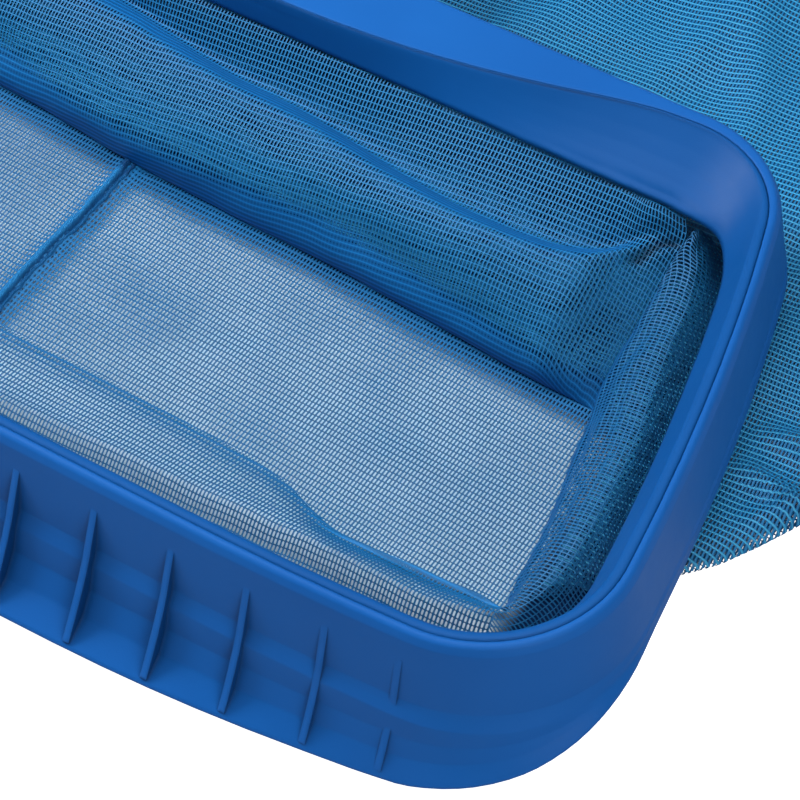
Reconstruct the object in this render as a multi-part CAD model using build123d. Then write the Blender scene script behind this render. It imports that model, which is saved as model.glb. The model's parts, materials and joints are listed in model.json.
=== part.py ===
from build123d import *
import math
import os

# Leaf skimmer net: a deep bag leaf rake for a pool, laid mouth-up. Millimetres.
# X is the width (centre plane x = 0), +Y points to the rear, where the pole goes,
# and +Z is up. z = 0 is the floor that the scoop lip and the bag lie on.
# "dist" is the distance along the rim's outer edge, from the front centre (0) round
# the right side to the rear centre. Profiles are (outward, z) points, with outward
# measured from that edge.

# ---- rim outline, right half ----
FRONT_Y = -106.7
FRONT_HALF = 105.0      # straight half length of the front
REAR_R = 40.3           # the rear corner turns whatever the arcs below leave of 180 degrees
RIM_ARCS = [            # radius, degrees turned
    (1005.0, 4.0),      # slight backward bow of the front
    (44.85, 92.6),      # front corner
    (822.0, 9.35),      # gently arched side, narrowing rearwards
]

# ---- heights and thicknesses ----
RIM_Z = 53.0            # mouth plane
WALL_Z = 25.0           # foot of the wall
DRAFT = 4.3             # outward draft of the wall over its height
WALL_T = 2.6
LIP_Z = 0.0             # underside of the scoop lip
LIP_T = 1.7
LIP_SAG = 3.4           # hollow of the scoop lip between crease and edge
LIP_EDGE_INSET = 0.15   # upper lip edge, inward from the full reach
FLANGE_REACH = 4.9      # reach where the lip has shrunk to a plain flange
LEDGE_Z = 48.7          # ledge the ring sits on
LEDGE_T = 2.2
SEAT_GAP = 0.15         # groove between frame and ring
RING_Z = 40.5           # lower edge of the ring
RING_TOP_Z = RIM_Z + 0.12
BEAD_INNER_Z = RIM_Z - 0.55
RING_SEAT_Z = LEDGE_Z + 0.06
SHELF_Z = 33.0          # hem shelf
SHELF_W = 3.6

# rounded outer edge of the frame's top: outward, height relative to the rim
TOP_ROUND = [(-2.1, 0.0), (-1.25, -0.26), (-0.62, -0.78), (-0.18, -1.65)]

# ---- tables along the rim; the first column is dist ----
# scoop lip: dist, reach beyond the rim edge, height
LIP = [(0, 22.6, 0), (40, 22.2, 0), (70, 21.6, 0), (90, 20.8, 0), (110, 19.4, 0),
       (130, 17.6, 0), (150, 15.6, 0), (165, 14.1, 0), (176, 13.2, 0.6), (186, 12.9, 3.2),
       (196, 12.7, 6.6), (206, 12.2, 10.6), (215, 11.0, 14.6), (224, 9.2, 18.0),
       (232, 7.4, 19.9), (240, 6.0, 21.1), (247, 5.2, 21.6), (256, 4.95, 21.8),
       (275, 4.9, 21.8), (600, 4.9, 21.8)]
# inner edge of the frame's top face, inward from the outer edge
TOP_INSET = [(0, 2.75), (350, 2.75), (380, 3.1), (400, 3.8), (418, 4.6), (434, 5.3),
             (446, 6.2), (456, 8.2), (468, 11.3), (480, 14.6), (495, 18.2), (510, 21.2),
             (525, 23.6), (540, 25.3), (555, 26.4), (570, 27.0), (586, 27.2)]
# width of the ring's rounded bead
BEAD_W = [(0, 3.2), (340, 3.2), (380, 3.0), (410, 2.2), (440, 1.3), (470, 0.8), (586, 0.55)]
# lower inner edge of the ring, inward from the outer edge
FOOT_INSET = [(0, 12.0), (330, 12.0), (352, 12.0), (364, 12.3), (372, 13.3), (380, 15.6),
              (388, 19.6), (397, 24.2), (407, 27.4), (418, 29.0), (434, 29.7), (450, 29.8),
              (480, 29.3), (500, 28.9), (586, 28.5)]
# depth of the hollow in the ring's inner face
HOLLOW = [(0, 0.3), (340, 0.4), (390, 1.6), (430, 2.4), (470, 1.5), (520, 0.4), (586, 0.1)]
# ledge width beyond the inner edge of the top face
LEDGE_W = [(0, 3.0), (440, 3.0), (470, 2.4), (500, 1.0), (520, 0.2), (586, -0.2)]

UP = (0, 0, 1)
REARWARD = (0, 1, 0)


# ------------------------------------------------------------------
# helpers
# ------------------------------------------------------------------
def interpolate(table, where, column=1):
    """Smooth interpolation in a table, without overshoot between its rows."""
    if where <= table[0][0]:
        return table[0][column]
    if where >= table[-1][0]:
        return table[-1][column]
    last = len(table) - 1

    def chord(row):
        """Interval and slope from one row to the next."""
        gap = table[row + 1][0] - table[row][0]
        return gap, (table[row + 1][column] - table[row][column]) / gap

    def tangent(row):
        if row <= 0 or row >= last:
            return 0.0
        before, after = chord(row - 1)[1], chord(row)[1]
        if before * after <= 0:
            return 0.0
        return 2 * before * after / (before + after)

    row = next(i for i in range(last) if table[i][0] <= where <= table[i + 1][0])
    gap = chord(row)[0]
    t = (where - table[row][0]) / gap
    return ((2 * t**3 - 3 * t**2 + 1) * table[row][column]
            + (t**3 - 2 * t**2 + t) * tangent(row) * gap
            + (-2 * t**3 + 3 * t**2) * table[row + 1][column]
            + (t**3 - t**2) * tangent(row + 1) * gap)


def lerp(a, b, t):
    return a + (b - a) * t


def clamp01(value):
    return min(1.0, max(0.0, value))


def cylinder(radius, start, axis, length):
    return Solid.make_cylinder(radius, length, Plane(origin=start, z_dir=axis))


def hex_prism(radius, y, z, height):
    """Upright hexagonal prism on the centre plane; radius is to the corners."""
    hexagon = Plane(origin=(0, y, z)) * RegularPolygon(radius, 6)
    return Solid.extrude(hexagon.faces()[0], Vector(0, 0, height))


def polygon(points, z):
    return Wire.make_polygon([Vector(x, y, z) for x, y in points], close=True)


def with_mirror(half):
    return half.fuse(half.mirror(Plane.YZ))


def largest_solid(shape):
    return max(shape.solids(), key=lambda solid: solid.volume)


# ------------------------------------------------------------------
# rim path
# ------------------------------------------------------------------
def follow_arc(x, y, heading, radius, turn):
    """Point and heading after turning left along an arc."""
    end = heading + turn
    return (x - radius * math.sin(heading) + radius * math.sin(end),
            y + radius * math.cos(heading) - radius * math.cos(end),
            end)


def trace_rim():
    """Segments (start dist, x, y, heading, radius; 0 if straight) and the total length."""
    segments = [(0.0, 0.0, FRONT_Y, 0.0, 0)]
    x, y, heading, dist = FRONT_HALF, FRONT_Y, 0.0, FRONT_HALF
    rear_turn = 180.0 - sum(turn for _, turn in RIM_ARCS)
    for radius, degrees in RIM_ARCS + [(REAR_R, rear_turn)]:
        turn = math.radians(degrees)
        segments.append((dist, x, y, heading, radius))
        x, y, heading = follow_arc(x, y, heading, radius, turn)
        dist += radius * turn
    segments.append((dist, x, y, heading, 0))
    return segments, dist + x


RIM_SEGMENTS, RIM_END = trace_rim()


def rim_point(dist):
    """Point x, y and outward normal x, y of the rim's outer edge."""
    for start, x, y, heading, radius in reversed(RIM_SEGMENTS):
        if dist >= start - 1e-9:
            break
    run = dist - start
    if radius:
        x, y, heading = follow_arc(x, y, heading, radius, run / radius)
    else:
        x += run * math.cos(heading)
        y += run * math.sin(heading)
    return x, y, math.sin(heading), -math.cos(heading)


def on_centre(dist):
    return dist < 1e-6 or dist > RIM_END - 1e-6


def rim_offset(dist, outward, z):
    """3D point beside the rim; exactly x = 0 at both ends of the half rim."""
    x, y, normal_x, normal_y = rim_point(dist)
    return (0.0 if on_centre(dist) else x + normal_x * outward, y + normal_y * outward, z)


def loft_stations():
    stations = [0.0, 22.0, 44.0, 64.0, 82.0, 98.0, 112.0, 125.0, 137.0, 148.0, 158.0, 167.0]
    dist = 174.0
    for limit, step in ((262, 5.5), (350, 14.0), (480, 6.0), (RIM_END - 9, 12.0)):
        while dist < limit:
            stations.append(dist)
            dist += step
    return stations + [RIM_END]


STATIONS = loft_stations()


def loft_half(profile_at):
    """Loft a profile along the right half of the rim, all sections wound alike."""
    wires = []
    for dist in STATIONS:
        profile = profile_at(dist)
        area = sum(a[0] * b[1] - b[0] * a[1] for a, b in zip(profile, profile[1:] + profile[:1]))
        if area < 0:
            profile = profile[::-1]
        points = [Vector(*rim_offset(dist, outward, z)) for outward, z in profile]
        wires.append(Wire.make_polygon(points, close=True))
    return Solid.make_loft(wires, ruled=False)


# ------------------------------------------------------------------
# frame body: wall, lip and ledge
# ------------------------------------------------------------------
def outer_wall(z):
    return DRAFT * (RIM_Z - z) / (RIM_Z - WALL_Z)


def inner_wall(z):
    return outer_wall(z) - WALL_T


def lip_at(dist):
    """Reach, underside height and fullness (0 plain flange, 1 full scoop) of the lip."""
    reach = interpolate(LIP, dist)
    return reach, LIP_Z + interpolate(LIP, dist, 2), clamp01((reach - FLANGE_REACH) / 8.0)


def lip_top(reach, lip_z, fullness):
    """Crease at the wall and outer edge of the lip's upper face."""
    crease = (outer_wall(WALL_Z) + 0.25 + 1.9 * fullness, WALL_Z - 0.2 - 2.0 * fullness)
    return crease, (reach - LIP_EDGE_INSET, lip_z + LIP_T)


def sagged(start, end, reach, fractions):
    """Points on the hollow lip surface from start to end.

    The sag acts on both axes, so 2.8 makes the diagonal depth about LIP_SAG halfway.
    """
    sag = 2.8 * LIP_SAG * clamp01((reach - 8.0) / 12.0)
    return [(lerp(start[0], end[0], t) - sag * t * (1 - t),
             lerp(start[1], end[1], t) - sag * t * (1 - t)) for t in fractions]


def frame_profile(dist):
    top_inset = interpolate(TOP_INSET, dist)
    ledge_in = -top_inset - interpolate(LEDGE_W, dist)
    reach, lip_z, full = lip_at(dist)
    foot = outer_wall(WALL_Z)
    crease, edge = lip_top(reach, lip_z, full)
    under_edge = (reach - 0.45 + 0.20 * full, lip_z)
    under_crease = (foot + 0.10 - 0.25 * full - WALL_T * 0.72,
                    min(WALL_Z - 1.6 - 2.6 * full,
                        lip_z + 60 * full + 0.5 * (1 - full) - 0.2))
    shelf_in = inner_wall(SHELF_Z) - SHELF_W
    return [
        # top face and its rounded outer edge
        (-top_inset, RIM_Z - 0.06),
        *[(outward, RIM_Z + rise) for outward, rise in TOP_ROUND],
        # outer face of the wall
        (outer_wall(RIM_Z - 3.0), RIM_Z - 3.0),
        (outer_wall(WALL_Z + 3.0), WALL_Z + 3.0),
        (foot + 0.15 + 0.35 * full, WALL_Z + 0.3 * (1 - full) + 0.9),
        # upper face, edge and underside of the lip
        crease,
        *sagged(crease, edge, reach, (0.3, 0.62)),
        edge,
        (reach + 0.30 * full, lip_z + 0.85),
        under_edge,
        *sagged(under_edge, under_crease, reach, (0.38, 0.7)),
        under_crease,
        # hem shelf on the inner face
        (inner_wall(SHELF_Z - 1.4), SHELF_Z - 2.0),
        (shelf_in, SHELF_Z - 0.5),
        (shelf_in, SHELF_Z + 0.7),
        (inner_wall(SHELF_Z + 1), SHELF_Z + 0.9),
        (inner_wall(45.5), 45.3),
        # ledge under the ring
        (ledge_in, LEDGE_Z - LEDGE_T),
        (ledge_in, LEDGE_Z),
        (-top_inset, LEDGE_Z + 0.02),
    ]


# ---- ribs between the wall and the scoop lip ----
RIB_X = [0.0, 25.2, 50.6, 77.0, 102.6, 127.2, 151.6, 174.0]
RIB_T = 2.2
RIB_TOP_Z = 42.5
RIB_BOW = 2.1           # bow of the concave free edge towards the crease
RIB_SINK = 0.9          # how far the free edge is set forward below its top


def front_dist_at(x):
    """Distance along the front half of the rim where it reaches x, by bisection."""
    low, high = 0.0, 215.0
    for _ in range(40):
        middle = 0.5 * (low + high)
        if rim_point(middle)[0] < x:
            low = middle
        else:
            high = middle
    return low


def rib(x, side):
    dist = front_dist_at(x)
    rim_y = rim_point(dist)[1]
    reach, lip_z, full = lip_at(dist)
    crease, edge = lip_top(reach, lip_z, full)
    lip_top_z = edge[1]
    top = (rim_y - outer_wall(RIB_TOP_Z), RIB_TOP_Z)
    tip = (rim_y - reach + 1.5, lip_top_z + 1.2)
    free_edge = []
    for t in (0.0, 0.2, 0.4, 0.6, 0.8, 1.0):
        bow = RIB_BOW * 4 * t * (1 - t) * (1.25 - 0.5 * t)
        free_edge.append((lerp(top[0], tip[0], t) + bow * 0.85 - RIB_SINK * min(1.0, 6 * t),
                          lerp(top[1], tip[1], t) - bow * 0.35))
    # the root runs just inside the lip and the wall
    wall_y = rim_y - outer_wall(WALL_Z)
    root = [
        (rim_y - reach + 2.4, lip_top_z - 0.9),
        *[(rim_y - outward + 0.5, z - 0.75)
          for outward, z in sagged(crease, edge, reach, (0.62, 0.3))],
        (wall_y - 1.6, WALL_Z - 3.4),
        (wall_y + 1.0, WALL_Z + 1.0),
        (top[0] + 1.2, RIB_TOP_Z - 0.2),
    ]
    face_x = side * x - RIB_T / 2
    curve = Spline([(face_x, y, z) for y, z in free_edge])
    line = Polyline([(face_x, y, z) for y, z in [free_edge[-1], *root, free_edge[0]]])
    face = Face(Wire(curve.edges() + line.edges()))
    return Solid.extrude(face, Vector(RIB_T, 0, 0))


# ---- pole stub, its boss and through screws ----
STUB_R = 14.3
STUB_BORE = 11.3
STUB_Z = 30.0
STUB_Y0, STUB_Y1 = 109.0, 256.0
NOSE_R = 13.8           # slightly slimmer nose at the rear end
NOSE_Y = 228.6
STUB_CHAMFER = 0.8

# boss sections: y, half width, bottom z, top z, corner radius
BOSS_SECTIONS = [(100.0, 60.0, 24.0, 50.0, 8.0), (112.0, 47.0, 17.0, 49.6, 10.0),
                 (126.0, 29.0, 12.0, 48.9, 13.0), (142.0, 20.6, 11.1, 48.9, 17.0),
                 (162.0, 19.2, 11.1, 48.9, 18.0)]
BOSS_FRONT_Y = 107.6    # the boss is trimmed off in front of this

SCREW_Y = [126.0, 147.0]
SCREW_HOLE_R = 2.6
SCREW_R = 2.45
SCREW_Z = 9.6           # lower end of the shank
SCREW_LEN = 36.2
HEAD_Z = 45.6           # underside of the screw head
HEAD_R, HEAD_H = 4.5, 2.9
HEAD_SEAT_R = 4.9
KEY_R, KEY_Z = 2.3, 46.9        # hexagon socket in the head
NUT_R, NUT_Z, NUT_H = 4.6, 10.7, 4.0
NUT_BORE_R = 2.5
NUT_POCKET_R, NUT_POCKET_Z, NUT_POCKET_H = 4.75, 8.0, 6.8


def screw_hole(y):
    return cylinder(SCREW_HOLE_R, (0, y, 5), UP, 50)


def pole_boss():
    sections = []
    for y, half_width, bottom, top, corner in BOSS_SECTIONS:
        outline = RectangleRounded(2 * half_width, top - bottom, corner)
        plane = Plane(origin=(0, y, (bottom + top) / 2), x_dir=(1, 0, 0), z_dir=(0, -1, 0))
        sections.append((plane * outline).wires()[0])
    boss = Solid.make_loft(sections, ruled=False)
    keep = Solid.make_box(200, 100, 60, Plane(origin=(-100, BOSS_FRONT_Y, -5)))
    return largest_solid(boss.intersect(keep))


# ---- ring screws and their seats ----
RING_SCREW_DISTS = [36.0, 122.0, 208.0, 296.0, 372.0]
RING_SCREW_INSET = 2.75         # screw axis, inward from the ring's outer edge
LUG_W, LUG_T, LUG_Z = 9.0, 2.5, 41.2
LUG_OVERHANG = 1.8              # lug inward of the screw axis
LUG_HOLE_R, LUG_HOLE_Z = 1.35, 40
LUG_SEAT_R, LUG_SEAT_Z = 2.75, 44.25    # clearance above the lug
LUG_CUT_H = 6


def ring_screw_sites():
    """Screw axis x, y, outward direction x, y and inset from the rim; right then left."""
    sites = []
    for dist in RING_SCREW_DISTS:
        x, y, normal_x, normal_y = rim_point(dist)
        inset = interpolate(TOP_INSET, dist) + SEAT_GAP + RING_SCREW_INSET
        for side in (1, -1):
            sites.append((side * (x - normal_x * inset), y - normal_y * inset,
                          side * normal_x, normal_y, inset))
    return sites


RING_SCREW_SITES = ring_screw_sites()


def ring_lug(x, y, out_x, out_y, inset):
    """Lug from the wall inward, centred on the screw axis across its width."""
    length = inset + outer_wall(42.0) - 1.2 + LUG_OVERHANG
    corner = (x - LUG_OVERHANG * out_x + LUG_W / 2 * out_y,
              y - LUG_OVERHANG * out_y - LUG_W / 2 * out_x, LUG_Z)
    plane = Plane(origin=corner, x_dir=(out_x, out_y, 0), z_dir=UP)
    return Solid.make_box(length, LUG_W, LUG_T, plane)


def frame_body():
    frame = with_mirror(loft_half(frame_profile))
    frame = frame.fuse(*[rib(x, side) for x in RIB_X for side in ((1, -1) if x else (1,))])
    frame = frame.fuse(pole_boss())
    # stub socket, then a hole, head seat and nut pocket for each through screw
    frame = frame.cut(cylinder(STUB_R + 0.1, (0, STUB_Y0 - 0.2, STUB_Z), REARWARD, 80))
    for y in SCREW_Y:
        frame = frame.cut(screw_hole(y))
        frame = frame.cut(cylinder(HEAD_SEAT_R, (0, y, HEAD_Z), UP, 8))
        frame = frame.cut(hex_prism(NUT_POCKET_R, y, NUT_POCKET_Z, NUT_POCKET_H))
    lugs, cuts = [], []
    for site in RING_SCREW_SITES:
        x, y = site[:2]
        lugs.append(ring_lug(*site))
        cuts.append(cylinder(LUG_HOLE_R, (x, y, LUG_HOLE_Z), UP, LUG_CUT_H))
        cuts.append(cylinder(LUG_SEAT_R, (x, y, LUG_SEAT_Z), UP, LUG_CUT_H))
    return largest_solid(frame.fuse(*lugs).cut(*cuts))


# ------------------------------------------------------------------
# bag ring and its screws
# ------------------------------------------------------------------
def ring_profile(dist):
    outer = interpolate(TOP_INSET, dist) + SEAT_GAP
    bead = interpolate(BEAD_W, dist)
    foot_in = interpolate(FOOT_INSET, dist)
    hollow = interpolate(HOLLOW, dist)
    ledge = max(interpolate(LEDGE_W, dist), 0.0)
    bead_in = outer + bead
    foot_out = foot_in - 1.25
    middle = 0.5 * (bead_in + foot_in)
    middle_z = 0.5 * (RIM_Z - 0.5 + RING_Z)
    back = min(foot_out, max(outer + ledge * 0.5 + 0.6, middle + hollow * 0.3 - 1.9))
    return [
        # rounded bead
        (-outer, RIM_Z - 0.45),
        (-outer - 0.28 * min(bead, 1.6), RING_TOP_Z),
        (-outer - bead * 0.72, RING_TOP_Z),
        (-bead_in, BEAD_INNER_Z),
        # hollow inner face
        *[(-lerp(bead_in, foot_in, t) - 2.2 * hollow * t * (1 - t),
           lerp(BEAD_INNER_Z, RING_Z, t) - 4 * hollow * t * (1 - t))
          for t in (0.2, 0.4, 0.6, 0.8)],
        # foot, back face and seat on the ledge
        (-foot_in, RING_Z),
        (-foot_out, RING_Z),
        (-back, middle_z - hollow - 1.2),
        (-outer - ledge - 0.20, LEDGE_Z - 0.5),
        (-outer - ledge - 0.18, RING_SEAT_Z),
        (-outer, RING_SEAT_Z),
    ]


def bag_ring():
    axes = [site[:2] for site in RING_SCREW_SITES]
    bosses = [cylinder(2.0, (x, y, 44.3), UP, 4.5) for x, y in axes]
    pilots = [cylinder(1.12, (x, y, 44.0), UP, 4.3) for x, y in axes]
    ring = with_mirror(loft_half(ring_profile))
    return largest_solid(ring.fuse(*bosses).cut(*pilots))


def ring_screws():
    screws = []
    for x, y, *_ in RING_SCREW_SITES:
        head = cylinder(2.2, (x, y, 39.5), UP, 1.65)
        screws.append(head.fuse(cylinder(1.06, (x, y, 41.1), UP, 7.0)))
    return Compound(children=screws)


# ------------------------------------------------------------------
# pole stub, spring clip and fixings
# ------------------------------------------------------------------
BUTTON_Y = 222.0
BUTTON_R = 3.5
BUTTON_HOLE_R = 4.1
BUTTON_TOP = 17.9       # x of the button's outer end
BUTTON_ROUND = 2.4
RIVET_R = 1.57
RIVET_HOLE_R = 1.6
RIVET_HEAD_R, RIVET_HEAD_T = 2.6, 0.68
CLIP_W = 9.0
CLIP_T = 0.8
CLIP_Y0 = 182.0         # where the bow meets the legs
CLIP_X = 9.1            # middle of the strip in each leg
CLIP_OUT, CLIP_IN = CLIP_X + CLIP_T / 2, CLIP_X - CLIP_T / 2
BOW_DEPTH_RATIO = 0.62  # depth of the elliptical bow over its half width
BOW_STEPS = 24


def pole_stub():
    length = STUB_Y1 - STUB_Y0
    stub = cylinder(STUB_R, (0, STUB_Y0, STUB_Z), REARWARD, length)
    stub = stub.cut(cylinder(STUB_BORE, (0, STUB_Y0 - 1, STUB_Z), REARWARD, length + 2))
    sleeve = cylinder(STUB_R + 2, (0, NOSE_Y, STUB_Z), REARWARD, 60)
    sleeve = sleeve.cut(cylinder(NOSE_R, (0, NOSE_Y - 1, STUB_Z), REARWARD, 62))
    stub = largest_solid(stub.cut(sleeve))
    rear_edges = [edge for edge in stub.edges()
                  if edge.center().Y > STUB_Y1 - 0.1
                  and edge.geom_type == GeomType.CIRCLE and edge.radius > NOSE_R - 0.1]
    stub = stub.chamfer(STUB_CHAMFER, None, rear_edges)
    stub = stub.cut(cylinder(BUTTON_HOLE_R, (-30, BUTTON_Y, STUB_Z), (1, 0, 0), 60))
    for y in SCREW_Y:
        stub = stub.cut(screw_hole(y))
    return largest_solid(stub)


def stub_screw(y):
    screw = cylinder(HEAD_R, (0, y, HEAD_Z), UP, HEAD_H)
    screw = screw.fuse(cylinder(SCREW_R, (0, y, SCREW_Z), UP, SCREW_LEN))
    return screw.cut(hex_prism(KEY_R, y, KEY_Z, 3))


def stub_nut(y):
    return hex_prism(NUT_R, y, NUT_Z, NUT_H).cut(cylinder(NUT_BORE_R, (0, y, 9), UP, 8))


def spring_strip(points):
    """Spring steel strip: XY outline extruded over the clip width, centred on the stub."""
    return Solid.extrude(Face(polygon(points, STUB_Z - CLIP_W / 2)), Vector(0, 0, CLIP_W))


def clip_bow():
    angles = [math.pi + math.pi * i / BOW_STEPS for i in range(BOW_STEPS + 1)]
    return spring_strip([
        (radius * math.cos(angle), CLIP_Y0 + BOW_DEPTH_RATIO * radius * math.sin(angle))
        for radius, sweep in ((CLIP_OUT, angles), (CLIP_IN, angles[::-1]))
        for angle in sweep])


def clip_leg(side):
    """Straight leg with an inward-bent rear end and a rivet hole."""
    start_y = CLIP_Y0 + 0.25
    outline = [(CLIP_IN, start_y), (CLIP_OUT, start_y),
               (CLIP_OUT, BUTTON_Y + 6), (CLIP_X - 1.8, BUTTON_Y + 15),
               (CLIP_X - 2.5, BUTTON_Y + 14.6), (CLIP_IN, BUTTON_Y + 5.8)]
    body = spring_strip([(side * x, y) for x, y in outline])
    return body.cut(cylinder(RIVET_HOLE_R, (0, BUTTON_Y, STUB_Z), (side, 0, 0), 30))


def button(side):
    """Rounded button with its rivet and the rivet head inside the leg."""
    def outward_cylinder(radius, start_x, length):
        return cylinder(radius, (side * start_x, BUTTON_Y, STUB_Z), (side, 0, 0), length)

    base_x = CLIP_OUT + 0.02
    body = outward_cylinder(BUTTON_R, base_x, BUTTON_TOP - base_x)
    end_edge = [edge for edge in body.edges()
                if edge.geom_type == GeomType.CIRCLE
                and abs(edge.center().X) > BUTTON_TOP - 0.1]
    body = body.fillet(BUTTON_ROUND, end_edge)
    rivet = outward_cylinder(RIVET_R, CLIP_IN - 0.02, CLIP_T + 0.5)
    head = outward_cylinder(RIVET_HEAD_R, CLIP_IN - 0.7, RIVET_HEAD_T)
    return largest_solid(body.fuse(rivet).fuse(head))


# ------------------------------------------------------------------
# bag: hem cord and side panels
# ------------------------------------------------------------------
CORD_R = 1.6
CORD_Z = 36.0
FAB_T = 0.9
GAP = 0.35                      # between neighbouring fabric pieces
SEAM_Z = 1.5                    # lower edge of the panels
SEAM_FRONT_Y = -51.0            # front panel's lower edge at the centre
FRONT_CORNER = (172.0, -48.0)   # x, y of the floor corners, right side
REAR_CORNER = (156.0, 22.6)
SIDE_BELLY = 3.0                # outward bow of the side panel's lower edge
FRONT_CORNER_DIST = 212.0       # where the front and side panels meet on the rim
REAR_CORNER_DIST = 402.0        # where the side and rear panels meet
CORNER_GAP = 1.3                # panel end from those points
# floor line of the rear panel: x, y
FOLD = [(-156, 22.6), (-140, 31.0), (-120, 37.0), (-95, 40.5), (-72, 40.3), (-20, 34.8),
        (17, 32.4), (63, 30.7), (113, 26.3), (140, 24.3), (156, 22.6)]


def cord_section(dist):
    centre = rim_offset(dist, inner_wall(CORD_Z) - 2.3, CORD_Z)
    _, _, normal_x, normal_y = rim_point(dist)
    if on_centre(dist):
        normal_x, normal_y = 0.0, math.copysign(1.0, normal_y)
    plane = Plane(origin=centre, x_dir=(normal_x, normal_y, 0), z_dir=(-normal_y, normal_x, 0))
    return Wire.make_circle(CORD_R, plane)


def hem_cord():
    half = Solid.make_loft([cord_section(dist) for dist in STATIONS], ruled=False)
    return largest_solid(with_mirror(half))


def thick_sheet(rows):
    """Closed triangulated solid, FAB_T thick, from a grid of points."""
    count, width = len(rows), len(rows[0])
    base = [[Vector(*point) for point in row] for row in rows]
    skin = [[None] * width for _ in range(count)]
    for i in range(count):
        for j in range(width):
            along = base[min(i + 1, count - 1)][j] - base[max(i - 1, 0)][j]
            down = base[i][min(j + 1, width - 1)] - base[i][max(j - 1, 0)]
            skin[i][j] = base[i][j] + along.cross(down).normalized() * FAB_T
    faces = []

    def triangle(*corners):
        faces.append(Face(Wire.make_polygon(corners, close=True)))

    for i in range(count - 1):
        for j in range(width - 1):
            triangle(base[i][j], base[i + 1][j], base[i + 1][j + 1])
            triangle(base[i][j], base[i + 1][j + 1], base[i][j + 1])
            triangle(skin[i][j], skin[i + 1][j + 1], skin[i + 1][j])
            triangle(skin[i][j], skin[i][j + 1], skin[i + 1][j + 1])
    # close the four borders
    for j in range(width - 1):
        triangle(base[0][j], base[0][j + 1], skin[0][j + 1])
        triangle(base[0][j], skin[0][j + 1], skin[0][j])
        triangle(base[-1][j], skin[-1][j + 1], base[-1][j + 1])
        triangle(base[-1][j], skin[-1][j], skin[-1][j + 1])
    for i in range(count - 1):
        triangle(base[i][0], skin[i + 1][0], base[i + 1][0])
        triangle(base[i][0], skin[i][0], skin[i + 1][0])
        triangle(base[i][-1], base[i + 1][-1], skin[i + 1][-1])
        triangle(base[i][-1], skin[i + 1][-1], skin[i][-1])
    return Solid(Shell(faces))


# lower edge of each panel as x, y, with u from 0 to 1 in the direction of dist
def front_floor(u):
    return FRONT_CORNER[0] * u, lerp(SEAM_FRONT_Y, FRONT_CORNER[1], u * u)


def side_floor(u):
    x = lerp(FRONT_CORNER[0], REAR_CORNER[0], u) + SIDE_BELLY * 4 * u * (1 - u)
    return x, lerp(FRONT_CORNER[1], REAR_CORNER[1], u)


def rear_floor(u, side):
    """Rear line on either side of the centre, with x given as if on the right."""
    x = REAR_CORNER[0] * (1 - u)
    return x, interpolate(FOLD, side * x)


def panel_rows(floor_at, u_ends, dist_ends, steps, bulge, lean=0.0):
    """Rows of points from the hem over the ring's foot down to the floor.

    bulge raises the panel between foot and floor; lean moves it forward by that share.
    """
    rows = []
    for i in range(steps + 1):
        x, y = floor_at(lerp(*u_ends, i / steps))
        dist = lerp(*dist_ends, i / steps)
        hem = rim_offset(dist, inner_wall(37.8) - 4.6, 37.0)
        foot = rim_offset(dist, 0.55 - interpolate(FOOT_INSET, dist), 39.2)
        row = [hem, foot]
        for t in (0.25, 0.5, 0.75):
            rise = bulge * math.sin(math.pi * t)
            row.append((lerp(foot[0], x, t), lerp(foot[1], y, t) - rise * lean,
                        lerp(foot[2], SEAM_Z, t) + rise))
        row.append((x, y, SEAM_Z))
        rows.append(row)
    return rows


def mirror_rows(rows):
    return [[(-x, y, z) for x, y, z in row] for row in reversed(rows)]


END_GAP = GAP / 150.0           # gap at a panel end, as a share of its length


def bag_front():
    right = panel_rows(front_floor, (0.0, 1.0 - END_GAP),
                       (0.0, FRONT_CORNER_DIST - CORNER_GAP), steps=18, bulge=-3.0)
    return thick_sheet(mirror_rows(right)[:-1] + right)


def side_rows():
    return panel_rows(side_floor, (0.014, 0.986),
                      (FRONT_CORNER_DIST + CORNER_GAP, REAR_CORNER_DIST - CORNER_GAP),
                      steps=22, bulge=1.0)


def bag_rear():
    right, left = [
        panel_rows(lambda u: rear_floor(u, side), (END_GAP, 1.0),
                   (REAR_CORNER_DIST + CORNER_GAP, RIM_END), steps=20, bulge=7.0, lean=0.75)
        for side in (1, -1)]
    return thick_sheet(right + mirror_rows(left)[1:])


# ------------------------------------------------------------------
# bag floor: two pieces meeting at the seam, spilling out behind
# ------------------------------------------------------------------
SEAM_X = -15.7          # the felled seam of the bag floor
SEAM_W, SEAM_LEN, SEAM_T = 3.6, 78.0, 1.2
BACK_LAYER_Z = 2.6
# right half outline of the spread bag: x, y
SPILL = [(0.0, -53.0), (120.0, -51.6), (176.5, -49.5), (190.0, -36.0), (205.0, -20.0),
         (219.0, 0.0), (231.0, 22.0), (242.0, 50.0), (249.0, 84.0), (250.0, 122.0),
         (244.0, 160.0), (231.0, 196.0), (208.0, 228.0), (174.0, 251.0), (120.0, 264.0),
         (60.0, 268.0), (0.0, 269.0)]
# opening of the back layer around the tub: x behind the fold line, then x, y down the side
OPENING_X = [0, 30, 60, 90, 120, 145]
OPENING_SIDE = [(163.0, 27.0), (174.0, -8.0), (180.0, -30.0), (181.0, -44.0), (186, -70)]
OPENING_CLEARANCE = 8.5


def spread_layer(z):
    """Fabric layer over the whole outline of the spread bag."""
    points = [Vector(x, y, z) for x, y in SPILL]
    curve = Edge.make_spline(points[2:-1])
    front = Edge.make_line(points[0], points[1])
    front_outer = Edge.make_line(points[1], points[2])
    rear = Edge.make_line(points[-2], points[-1])
    centre = Edge.make_line(points[-1], points[0])
    outline = Face(Wire([front, front_outer, curve, rear, centre]))
    return with_mirror(Solid.extrude(outline, Vector(0, 0, FAB_T)))


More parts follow.
